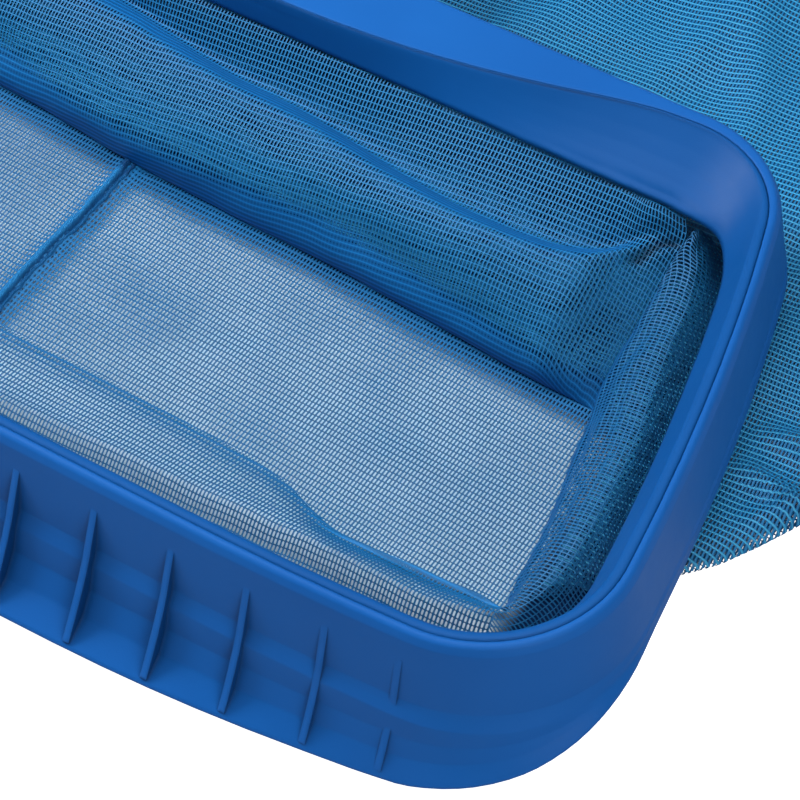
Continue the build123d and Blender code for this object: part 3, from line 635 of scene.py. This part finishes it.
def rear_station(x):
    tables = (RING_Y, RIDGE_Y, FOLD_Y, FALL_Y, FALL_Z)
    ring, ridge, fold, fall, fall_z = (smooth_one(table, x) for table in tables)
    gap = unit((ring - ridge - 6.0) / 14.0)      # how deep the trough behind the ridge is
    trough_z, ridge_z = 31.5 - 5.0 * gap, 34.2 - 1.6 * gap
    return [
        # over the ring
        (x, ring + 9.0, 37.0),
        (x, ring + 0.6, 39.6),
        (x, ring - 2.6, 37.4),
        # trough
        (x, 0.5 * (ring - 2.6 + ridge + 4.2), 0.45 * 37.4 + 0.55 * trough_z),
        (x, ridge + 4.2, trough_z),
        # ridge
        (x, ridge - 0.2, 0.5 * (trough_z + ridge_z) + 0.3),
        (x, ridge - 4.6, ridge_z),
        (x, ridge - 9.5, ridge_z - 1.6),
        # fall to the floor
        (x, 0.45 * (ridge - 9.5) + 0.55 * fall - 0.6,
         0.45 * (ridge_z - 1.6) + 0.55 * fall_z + 2.6),
        (x, fall, fall_z),
        (x, fold + 0.2, 0.42 * fall_z + 0.6),
        (x, fold + 1.6, 1.7),
        (x, fold + 7.0, 1.5),
    ]


def build_rear_panel():
    left_end = [(-x, y + (0.6 if i > 8 else 0.0), z)
                for i, (x, y, z) in enumerate(REAR_RIGHT_END)]
    left_mid = [(-x, y, z) for x, y, z in REAR_RIGHT_MID]
    stations = ([left_end, left_mid] + [rear_station(x) for x in REAR_X]
                + [REAR_RIGHT_MID, REAR_RIGHT_END])
    station_at = [-REAR_END, -152] + REAR_X + [151.5, REAR_END]
    rows = np.arange(-REAR_END, REAR_END + 0.01, 1.25)
    grid = loft(stations, station_at, rows, spans=[3, 3, 4, 5, 5, 6, 6, 6, 14, 12, 10, 4])
    wrinkle = fractal_noise(rows[:, None] * 0.7, arc_length(grid, 1), scale=16.0, seed=3.1)
    fade = edge_fade(grid.shape[1], first=16.0, last=10.0)
    grid = offset_normal(grid, 0.55 * wrinkle * fade)
    x, y, z = np.moveaxis(grid, -1, 0)           # views into the grid
    # lobe of slack cloth beside the pinched corner, and the fold in front of it
    z += 1.5 * bell(x - 154.0, 6.0) * bell(y - 74.6, 2.6)
    pinch = bell(path_distance(x, y, PINCH), 1.5) * unit((x - 149.0) / 4.0) * (z > 20)
    z -= 1.7 * pinch
    across = np.interp(rows, [-REAR_END, -143, 143, REAR_END], [-166, -143, 143, 166])[:, None]
    uv = cells(across, arc_length(grid, 1) + 0.07 * across)
    # cloth is bunched on the ridge and closes up down the fall
    ridge = smooth(RIDGE_Y, rows)[:, None]
    inner = unit((150 - np.abs(rows)) / 16.0)[:, None]
    off_ridge = y - (ridge - 1.2)
    dense = inner * (0.95 * bell(off_ridge, 2.3, power=4) + 0.34 * bell(off_ridge, 6.5))
    dense = dense * (z > 22)
    fall = unit((linear(FALL_Z, rows)[:, None] + 3.5 - z) / 7.0) * (y < ridge - 6)
    dense = np.maximum(dense, 0.74 * fall * fall * (3 - 2 * fall) + 0.10 * fall)
    # painted shade: the pinched fold gets negative values, which darken it
    dense = np.where(pinch > 0.12, -0.85 * pinch, dense)
    sheet("net_rear_panel", grid, uv, NET_TUB, "bag_rear", dense)


# ---- side panels: a rolled bulge beside the floor, then a valley and the hem
SIDE_STATIONS = [  # foot on the floor or crease, crest of the bulge, distance along the rim
    ((163.6, 75.6, 34.6), (165.2, 77.6, 35.6), 399.0),
    ((162.3, 70.2, 29.8), (167.7, 72.7, 32.6), 389.0),
    ((162.0, 65.0, 25.8), (170.4, 67.2, 30.4), 379.0),
    ((162.0, 58.8, 21.4), (173.0, 58.6, 27.8), 367.0),
    ((162.2, 49.0, 16.0), (174.8, 48.4, 25.4), 357.0),
    ((161.7, 39.1, 10.4), (176.6, 38.0, 23.9), 346.0),
    ((161.9, 29.0, 5.0), (178.6, 28.4, 23.0), 336.5),
    ((164.6, 16.0, 2.2), (182.0, 15.0, 22.2), 322.5),
    ((167.0, 3.2, 1.6), (184.9, 1.0, 21.6), 308.5),
    ((169.6, -8.0, 1.6), (186.4, -10.0, 21.2), 297.0),
    ((171.6, -17.6, 1.6), (187.4, -20.0, 20.6), 286.5),
    ((174.0, -30.0, 1.6), (188.3, -31.0, 19.4), 275.0),
    ((175.0, -39.5, 1.6), (187.8, -40.2, 17.0), 266.0),
    ((175.6, -46.0, 1.6), (186.0, -47.6, 14.2), 257.0),
    ((176.0, -49.4, 1.6), (183.2, -53.4, 11.8), 246.0),
    ((176.3, -51.4, 1.6), (180.2, -57.0, 10.3), 228.0),
    ((176.3, -52.6, 1.6), (177.6, -58.6, 9.6), 208.0),
    ((176.0, -52.9, 1.6), (176.8, -58.9, 9.4), 190.0),
    ((175.7, -53.1, 1.6), (176.2, -59.2, 9.3), 172.0),
]
# way down from the crest: greatest reach in mm, share of the room, share of the drop
VALLEY = [(3.2, 0.20, 0.26), (6.6, 0.42, 0.74), (11.5, 0.66, 1.0)]


def side_station(foot, crest, distance):
    foot, crest = np.array(foot), np.array(crest)
    hem = np.array(rim_point(distance, HEM_OFFSET, HEM_Z))
    across, rise = crest[:2] - foot[:2], crest[2] - foot[2]
    tuck = across / max(np.linalg.norm(across), 0.6) * 0.9 * unit(rise / 14.0)
    points = [foot,
              foot + np.r_[-tuck, 0.22 * rise],
              foot + np.r_[across * 0.14, 0.52 * rise],
              foot + np.r_[across * 0.52, 0.86 * rise],
              crest]
    room = np.linalg.norm(hem[:2] - crest[:2])
    out = (hem[:2] - crest[:2]) / max(room, 1e-6)
    drop = min(15.0, crest[2] - 3.0) * min(1.0, room / 22.0)
    for limit, share, depth in VALLEY:
        points.append(crest + np.r_[out * min(limit, room * share), -depth * drop])
    below_hem_z = max(crest[2] - drop + 5.0, min(23.0, crest[2] - 2))
    return points + [np.r_[crest[:2] + out * (room * 0.93), below_hem_z], hem]


def build_side_panel(side, mirror, seed):
    """Shaped as the right panel, then mirrored for the left."""
    crests = np.array([crest for _, crest, _ in SIDE_STATIONS])
    station_at = np.r_[0, np.cumsum(np.linalg.norm(np.diff(crests, axis=0), axis=1))]
    rows = np.arange(0, station_at[-1] + 0.01, 0.9)
    spans = [4, 4, 8, 9, 6, 6, 6, 8, 8]
    crest_column = sum(spans[:4])
    grid = loft([side_station(*row) for row in SIDE_STATIONS], station_at, rows, spans)
    wrinkle = fractal_noise(rows[:, None] * 0.35, arc_length(grid, 1) * 1.5, scale=9.0,
                            seed=seed, octaves=3)
    grid = offset_normal(grid, 0.75 * wrinkle * edge_fade(grid.shape[1], first=6.0, last=10.0))
    # cells keep their size: counted along from mid length, and down from the crest
    along = arc_length(grid, 0)
    middle = np.argmin(np.abs(rows - 0.5 * rows[-1]))
    down = arc_length(grid, 1)
    uv = cells(along - along[middle:middle + 1],
               down - down[:, crest_column:crest_column + 1])
    # bunched at the foot except near the front end; painted shade darkens the valley beyond the
    # crest
    column = np.arange(grid.shape[1])[None, :]
    bunched = 0.75 * unit(1 - column / 7.0)
    valley_shade = 0.90 * unit((column - crest_column - 10) / 12.0)
    front_end = unit(1 - (rows[-1] - rows) / 30.0)[:, None]
    off_darkest = np.abs(rows[:, None] - 0.30 * rows[-1]) / (0.9 * rows[-1])
    dense = np.where(column > crest_column, -valley_shade * np.clip(1 - off_darkest, 0.35, 1),
                     bunched * (1 - front_end))
    if mirror:
        grid = grid * np.array([-1.0, 1.0, 1.0])
    sheet("net_side_panel_" + side, grid, uv, NET_SIDE_PAINTED_SHADE, "bag_side_" + side, dense, flip=mirror)


# ---- front panel: drops from the front rail, with a low roll and a pleat at the floor line
FRONT_X = [-177, -160, -135, -110, -80, -50, -25, 0, 25, 50, 75, 90, 100, 110, 120, 130, 142,
           156, 167, 177]
PLEAT_HEIGHT = [    # x, height
    (-177, 1.5), (-150, 1.3), (-125, 0.9), (-100, 0.1), (60, 0.0), (100, 0.22), (118, 0.6),
    (128, 1.2), (150, 1.5), (170, 1.6), (177, 1.3)]


def floor_z(x, y):
    """Height of the bag's floor, which lies nearly flat with slow swells."""
    return 1.5 + 0.55 * fractal_noise(x, y * 1.7, scale=34.0, seed=5.9)


def front_station(x):
    roll, roll_z, line = (smooth_one(t, x) for t in (ROLL_Y, ROLL_Z, FRONT_LINE_Y))
    distance = rim_distance(abs(x))
    sharp = unit((x - 96.0) / 26.0)              # the roll sharpens to the right
    return [
        (x, rim_point(distance, HEM_OFFSET)[1], HEM_Z),
        (x, rim_point(distance, -6.0)[1], 22.0),
        (x, -90.0, 5.0),
        (x, -79.0, 2.6),
        (x, roll - 5.2, 2.8),
        (x, roll - 2.4, 0.62 * roll_z + 1.0),
        (x, roll, roll_z),
        (x, roll + 3.4, roll_z - 0.7 - 0.8 * sharp),
        (x, 0.45 * (roll + 3.4) + 0.55 * line, 0.40 * roll_z + 0.9 - 0.8 * sharp),
        (x, line, float(floor_z(np.array([x]), np.array([line]))[0])),
    ]


def build_front_panel():
    rows = np.arange(-FRONT_END, FRONT_END + 0.01, 1.3)
    grid = loft([front_station(x) for x in FRONT_X], FRONT_X, rows,
                spans=[4, 5, 5, 5, 5, 5, 6, 8, 9])
    x, y, z = np.moveaxis(grid, -1, 0)           # views into the grid
    wrinkle = fractal_noise(x, y * 2.0, scale=22.0, seed=17.7)
    z += 0.45 * wrinkle * edge_fade(grid.shape[1], first=10.0, last=8.0)
    line = smooth(FRONT_LINE_Y, rows)[:, None]
    down = arc_length(grid, 1)
    uv = cells(x, down - down[:, -1:] + line)
    # the pinched pleat where the roll meets the floor
    pleat = linear(PLEAT_HEIGHT, rows)[:, None]
    z += pleat * bell(y - line + 1.3, 1.0)
    dense = (0.85 * unit(pleat / 1.2) * bell(y - line + 1.2, 1.5, power=4)
             + 0.22 * bell(y - line, 5.0))
    sheet("net_front_panel", grid, uv, NET_FLOOR, "bag_front", dense)


# ---- floor of the bag, spread out behind and beside the frame
def near_edge(x):
    return np.where(np.abs(x) <= FRONT_END, smooth(FRONT_LINE_Y, x),
                    linear(SIDE_EDGE, np.abs(x)))


def far_edge(x):
    return smooth(REAR_EDGE, np.abs(x))


def ruled_grid(x, near, far, shares):
    """x and y of a grid whose rows run from near to far at each x."""
    return (np.repeat(x[:, None], len(shares), 1),
            near[:, None] + (far - near)[:, None] * shares[None, :])


def build_floor(name, start, end, replaced, seam_dense, seam_width):
    xs = np.unique(np.r_[np.arange(start, end + 0.01, 2.0), start, end])
    t = np.linspace(0, 1, 150)
    # finer steps in the visible part of the floor
    x, y = ruled_grid(xs, near_edge(xs), far_edge(xs), 0.55 * t + 0.45 * t**2)
    tub = y < 60
    off_seam = np.abs(x - SEAM_X)
    z = floor_z(x, y) + 0.9 * bell(off_seam, 2.6) * tub - 0.35 * bell(off_seam - 6.0, 3.0) * tub
    z = np.clip(z, 0.35, None)
    drift = 0.30 * fractal_noise(x, y, scale=60.0, seed=41.0)
    pucker = 0.9 * bell(off_seam, 5.0) * np.sin(y / 5.5) * tub
    uv = cells(x + drift * 1.2, y + pucker + drift)
    dense = (seam_dense * bell(off_seam, seam_width)
             + 0.25 * bell(smooth(FOLD_Y, xs)[:, None] - y, 5.0)
             + 0.10 * fractal_noise(x, y, scale=46.0, seed=97.0)) * tub
    dense = np.where(y > 60, 0.25, dense)
    sheet(name, np.stack([x, y, z], -1), uv, NET_FLOOR, replaced, dense)


# ---- upper layer of the spread bag, with soft folds
LAYER_FOLDS = [  # start x, start y, direction in degrees, height, width, length
    (196, 108, 62, 4.2, 6.0, 95), (182, 128, 84, 3.4, 7.0, 90), (216, 84, 30, 3.0, 6.0, 60),
    (150, 132, 108, 3.0, 8.0, 90), (110, 150, 80, 2.4, 9.0, 80), (214, 42, 12, 5.5, 4.5, 34),
    (212, 26, -6, 4.5, 3.4, 26), (222, 12, 48, 3.0, 4.0, 30), (60, 150, 70, 2.4, 9.0, 90)]
LAYER_NEAR = [   # x, y of the near edge, behind the tub
    (-182, -42), (-172, 10), (-160, 34), (-140, 40), (-95, 50.5), (-20, 45.5), (63, 41.0),
    (113, 37.0), (145, 34.0), (162, 33.0), (174, 10), (182, -42)]


def layer_z(x, y):
    z = 6.0 + 2.6 * fractal_noise(x, y, scale=48.0, seed=61.0)
    for start_x, start_y, degrees, height, width, length in LAYER_FOLDS:
        for side in (1, -1):
            angle = math.radians(degrees if side > 0 else 180 - degrees)
            dx, dy = x - side * start_x, y - start_y
            along = dx * math.cos(angle) + dy * math.sin(angle)
            across = -dx * math.sin(angle) + dy * math.cos(angle) + 2.4 * np.sin(along / 15.0)
            ends = unit(1 - ((along - length / 2) / (length * 0.72)) ** 2)
            z = z + height * bell(across, width) * ends
    return z


def build_back_layer():
    xs = np.arange(-SPREAD_X, SPREAD_X + 0.01, 2.0)
    near = np.where(np.abs(xs) > LAYER_X, near_edge(xs), linear(LAYER_NEAR, xs))
    x, y = ruled_grid(xs, near, far_edge(xs), np.linspace(0, 1, 170))
    # the layer rolls down at the outline to meet the lower one
    inset = unit(path_distance(np.abs(x), y, SPREAD_EDGE) / 7.0)
    z = 2.0 + (layer_z(x, y) - 2.0) * np.sqrt(unit(1 - (1 - inset) ** 2))
    # it passes under the frame: keep it below the wall's foot
    z = np.minimum(z, 15.5)
    drift_u, drift_v = (3.0 * fractal_noise(x, y, scale=70.0, seed=seed)
                        for seed in (71.0, 83.0))
    uv = cells(x + drift_u + 0.10 * y, y + drift_v - 0.06 * x)
    sheet("net_back_layer", np.stack([x, y, z], -1), uv, NET_SPILL, "bag_back_layer")


# ---- felled seam of the floor: two corded rolls of folded mesh
SEAM_PROFILE = np.array([  # across, height, painted shade of the groove
    (-2.0, -0.1, 0), (-1.95, 0.6, 0), (-1.6, 1.25, 0), (-1.1, 1.65, 0), (-0.5, 1.75, 0),
    (0.0, 1.5, 0.1), (0.4, 0.95, 0.7), (0.8, 0.45, 1.0), (1.2, 0.35, 1.0), (1.6, 0.6, 0.75),
    (2.0, 0.55, 0.6), (2.3, 0.2, 0.5), (2.35, -0.1, 0.5)])


def build_floor_seam():
    across, height, groove_shade = SEAM_PROFILE.T[:, None, :]
    y = np.linspace(-60.0, 37.0, 260)[:, None]
    column = np.arange(len(SEAM_PROFILE))[None, :]
    wobble = 0.25 * np.sin(y / 9.0) + 0.12 * np.sin(y / 3.1)
    width = 1.0 + 0.10 * np.sin(y / 2.3) + 0.06 * np.sin(y / 0.9)
    knots = fractal_noise(y / 0.9, column * 0.9, scale=1.0, seed=4.4, octaves=1)
    x = SEAM_X + wobble + across * width + 0.12 * knots
    z = floor_z(SEAM_X, y) + 0.35 + height * (0.95 + 0.08 * np.sin(y / 1.9)) + 0.22 * knots
    grid = np.stack(np.broadcast_arrays(x, y, z), -1)
    # painted shade: the groove and the end of the seam beyond y = 29.5, toward the rear fold, are
    # darkened
    sheet("net_floor_seam", grid, stack_uv(y, column * 0.45), SEAM, "bag_floor_seam",
          dense=groove_shade + unit((y - 29.5) / 3.0), flip=True)


# ------------------------------------------------------------------
# stage, light and camera
# ------------------------------------------------------------------
def mirrored(outline):
    return outline + [(-x, y) for x, y in reversed(outline)]


def studio_floor_material():
    sh = Shader("studio_floor")
    covered = sh.attribute("covered")
    seen_directly = sh.output("LightPath", "Is Camera Ray")
    glow = (1.0 - covered) * seen_directly
    # painted shade under the net: dark navy below folded layers, pale below the open floor
    under_net_painted_light = sh.mix(sh.attribute("light"), (0.006, 0.022, 0.075, 1), (0.80, 0.92, 1.0, 1))
    seen = sh.mix(covered, (0.85, 0.85, 0.86, 1), under_net_painted_light)
    # the sweep sends only a little light back up on the object
    colour = sh.mix(seen_directly, (0.42, 0.43, 0.45, 1), seen)
    sh.surface(Base_Color=colour, Roughness=0.9, Specular_IOR_Level=0.0,
               Emission_Color=(1, 1, 1, 1), Emission_Strength=glow * 1.0)
    return sh.material


def build_studio_floor():
    xs = np.r_[-3000, np.arange(-264, 264.1, 2.0), 3000]
    ys = np.r_[-3000, np.arange(-140, 284.1, 2.0), 3000]
    x, y = np.meshgrid(xs, ys, indexing="ij")
    in_rim = inside(x, y, mirrored([rim_point(distance, -4.0)[:2]
                                    for distance in np.linspace(0, RIM_LENGTH, 120)]))
    # the spread bag's outline, drawn in a little about y = 110
    in_spread = inside(x, y, [(px * 0.985, 0.985 * (py - 110) + 110)
                              for px, py in mirrored(SPREAD_EDGE)])
    fold = smooth(FOLD_Y, xs)[:, None]
    # painted light and shade on the floor under the net: pale below the open floor, dark below
    # folded layers
    light = unit((fold - 1.0 - y) / 7.0) * unit((178 - np.abs(x)) / 6.0) * (y > -110)
    light = np.where(y < -45, unit((179 - np.abs(x)) / 6.0), light)
    # painted shade: darker under the front roll, and left of the seam towards the rear fold
    light = light * (1 - 0.42 * unit((-59 - y) / 8.0))
    light = light * (1 - 0.42 * unit((SEAM_X + 4 - x) / 30.0) * unit(1 - (fold - y) / 45.0))
    light = np.where(~in_rim & in_spread, 0.35, light)
    mesh = bpy.data.meshes.new("studio_floor")
    mesh.from_pydata([(px * MM, py * MM, -0.0004) for px, py in zip(x.ravel(), y.ravel())],
                     [], grid_quads(*x.shape).tolist())
    for name, values in (("covered", in_rim | in_spread), ("light", light)):
        attribute = mesh.attributes.new(name, "FLOAT", "POINT")
        attribute.data.foreach_set("value", values.ravel().astype(np.float32))
    floor = bpy.data.objects.new("studio_floor", mesh)
    bpy.context.scene.collection.objects.link(floor)
    mesh.materials.append(studio_floor_material())


def softbox(name, location, target, size, power):
    """Square area light aimed at a target."""
    light = bpy.data.lights.new(name, "AREA")
    light.shape = "RECTANGLE"
    light.size = light.size_y = size
    light.energy = power
    lamp = bpy.data.objects.new(name, light)
    lamp.location = location
    aim = Vector(target) - Vector(location)
    lamp.rotation_euler = aim.to_track_quat("-Z", "Y").to_euler()
    bpy.context.scene.collection.objects.link(lamp)


def set_world(colour, strength):
    world = bpy.data.worlds.new("studio")
    world.use_nodes = True
    background = world.node_tree.nodes["Background"]
    background.inputs[0].default_value = colour
    background.inputs[1].default_value = strength
    bpy.context.scene.world = world


def set_camera(target, azimuth, elevation, distance):
    """Looks at the target from the front right and above; angles in degrees."""
    data = bpy.data.cameras.new("camera")
    data.lens = 135.0
    data.sensor_width = 36.0
    data.clip_start = 0.02
    camera = bpy.data.objects.new("camera", data)
    azimuth, elevation = math.radians(azimuth), math.radians(elevation)
    back = Vector((math.sin(azimuth) * math.cos(elevation),
                   -math.cos(azimuth) * math.cos(elevation), math.sin(elevation)))
    camera.location = Vector(target) + back * distance
    camera.rotation_euler = back.to_track_quat("Z", "Y").to_euler()
    bpy.context.scene.collection.objects.link(camera)
    bpy.context.scene.camera = camera


dress_cad_pieces()
build_rear_panel()
build_side_panel("right", mirror=False, seed=11.7)
build_side_panel("left", mirror=True, seed=23.3)
build_front_panel()
build_floor("net_floor_right", SEAM_X + SEAM_GAP, SPREAD_X, "bag_floor_right",
            seam_dense=0.62, seam_width=5.5)
build_floor("net_floor_left", -SPREAD_X, SEAM_X - SEAM_GAP, "bag_floor_left",
            seam_dense=0.25, seam_width=4.0)
build_back_layer()
build_floor_seam()

build_studio_floor()
softbox("key_softbox", location=(-1.10, -0.12, 1.00), target=(0.08, -0.02, 0.02),
        size=0.45, power=22.0)
softbox("side_softbox", location=(1.35, -0.75, 0.70), target=(0.10, -0.02, 0.02),
        size=0.8, power=9.0)
softbox("top_softbox", location=(0.1, 0.10, 1.7), target=(0.1, 0.0, 0.0),
        size=1.4, power=25.0)
set_world(colour=(0.95, 0.97, 1.0, 1), strength=0.16)
bpy.context.scene.view_settings.view_transform = "Standard"
set_camera(target=(0.132, -0.038, 0.053), azimuth=32.0, elevation=50.6,
           distance=833.33333 * MM)
